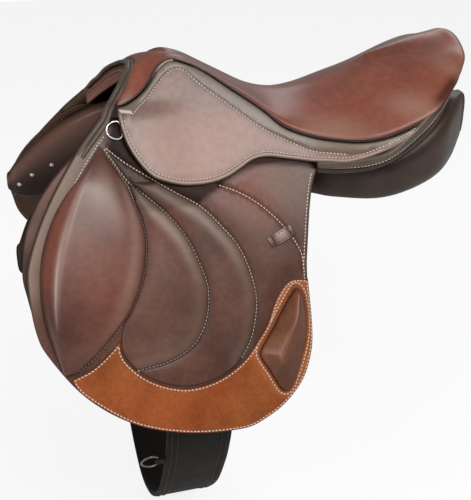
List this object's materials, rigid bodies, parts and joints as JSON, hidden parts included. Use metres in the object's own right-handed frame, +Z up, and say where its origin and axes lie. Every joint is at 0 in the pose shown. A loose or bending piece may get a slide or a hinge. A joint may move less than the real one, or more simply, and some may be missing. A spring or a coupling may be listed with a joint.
{
  "type": "all-purpose saddle with girth",
  "caption": "Leather all-purpose riding saddle with padded flaps, lifting skirts, stirrup bars, flocked panels and a hanging buckled girth.",
  "frame": {"origin": "on the centre plane, at the line where the panels bear on the horse's back, under the seat's deepest point", "axes": "-X is the front (pommel), +X the back (cantle), -Y the near (left) side, +Z up"},
  "size_m": [0.6038, 0.5246, 0.6494],
  "materials": {
    "seat_leather": "smooth red-brown saddle leather, soft sheen",
    "flap_leather": "smooth brown saddle leather, soft sheen, pale stitching",
    "pad_leather": "smooth brown leather over padding, soft sheen",
    "grain_leather": "grained tan leather, matt",
    "panel_leather": "dark brown leather",
    "black_web": "black webbing and leather",
    "wood": "laminated tree wood",
    "webbing": "natural webbing",
    "foam": "seat foam",
    "steel": "stainless steel"
  },
  "bodies": {
    "saddle": {"cantle_facing": "panel_leather", "dee_loop_left": "flap_leather", "dee_loop_right": "flap_leather", "flap_top_left": "flap_leather", "flap_top_right": "flap_leather", "head_arch": "steel", "panel_left": "panel_leather", "panel_right": "panel_leather", "pommel_facing": "panel_leather", "seat_cover": "seat_leather", "seat_foam": "foam", "seat_web": "webbing", "skirt_band_left": "flap_leather", "skirt_band_right": "flap_leather", "stirrup_bar_left": "steel", "stirrup_bar_right": "steel", "sweat_flap_left": "panel_leather", "sweat_flap_right": "panel_leather", "tree": "wood"},
    "flap_left": {"calf_block_left": "pad_leather", "flap_left": "flap_leather", "inner_crescent_left": "flap_leather", "keeper_left": "pad_leather", "knee_pad_left": "pad_leather", "outer_crescent_left": "flap_leather", "wear_patch_left": "grain_leather"},
    "skirt_left": {"skirt_left": "flap_leather"},
    "stirrup_catch_left": {"stirrup_catch_left": "steel"},
    "front_dee_left": {"front_dee_left": "steel"},
    "flap_right": {"calf_block_right": "pad_leather", "flap_right": "flap_leather", "inner_crescent_right": "flap_leather", "keeper_right": "pad_leather", "knee_pad_right": "pad_leather", "outer_crescent_right": "flap_leather", "wear_patch_right": "grain_leather"},
    "skirt_right": {"skirt_right": "flap_leather"},
    "stirrup_catch_right": {"stirrup_catch_right": "steel"},
    "front_dee_right": {"front_dee_right": "steel"},
    "girth": {"girth": "black_web", "girth_buckle_front_left": "steel", "girth_buckle_front_right": "steel", "girth_buckle_rear_left": "steel", "girth_buckle_rear_right": "steel", "girth_dee_chape": "black_web", "girth_strap_front_left": "panel_leather", "girth_strap_front_right": "panel_leather", "girth_strap_rear_left": "panel_leather", "girth_strap_rear_right": "panel_leather"},
    "girth_dee": {"girth_dee": "steel"}
  },
  "joints": [
    {"name": "skirt_left_lift", "type": "hinge", "parent": "saddle", "child": "skirt_left", "pos_m": [-0.22846, -0.09156, 0.05], "axis": [-0.9462, 0.1568, 0.2831], "range_deg": [0, 70]},
    {"name": "flap_left_lift", "type": "hinge", "parent": "saddle", "child": "flap_left", "pos_m": [-0.2999, -0.10798, 0.0083], "axis": [-0.9724, 0.1304, 0.1935], "range_deg": [0, 65]},
    {"name": "stirrup_catch_left_turn", "type": "hinge", "parent": "saddle", "child": "stirrup_catch_left", "pos_m": [-0.0886, -0.08686, 0.01419], "axis": [0, -0.813, 0.5823], "range_deg": [0, 80]},
    {"name": "front_dee_left_swing", "type": "hinge", "parent": "saddle", "child": "front_dee_left", "pos_m": [-0.22522, -0.0871, 0.04178], "axis": [0, 0.5934, 0.8049], "range_deg": [0, 30]},
    {"name": "skirt_right_lift", "type": "hinge", "parent": "saddle", "child": "skirt_right", "pos_m": [-0.22846, 0.09156, 0.05], "axis": [0.9462, 0.1568, -0.2831], "range_deg": [0, 70]},
    {"name": "flap_right_lift", "type": "hinge", "parent": "saddle", "child": "flap_right", "pos_m": [-0.2999, 0.10798, 0.0083], "axis": [0.9724, 0.1304, -0.1935], "range_deg": [0, 65]},
    {"name": "stirrup_catch_right_turn", "type": "hinge", "parent": "saddle", "child": "stirrup_catch_right", "pos_m": [-0.0886, 0.08686, 0.01419], "axis": [0, -0.813, -0.5823], "range_deg": [0, 80]},
    {"name": "front_dee_right_swing", "type": "hinge", "parent": "saddle", "child": "front_dee_right", "pos_m": [-0.22522, 0.0871, 0.04178], "axis": [0, 0.5934, -0.8049], "range_deg": [0, 30]},
    {"name": "girth_swing", "type": "hinge", "parent": "saddle", "child": "girth", "pos_m": [-0.174, 0, -0.006], "axis": [0, 1, 0], "range_deg": [-2, 0.5]},
    {"name": "girth_dee_swing", "type": "hinge", "parent": "girth", "child": "girth_dee", "pos_m": [-0.223, -0.21433, -0.33741], "axis": [0, -0.4201, 0.9075], "range_deg": [0, 70]}
  ]
}
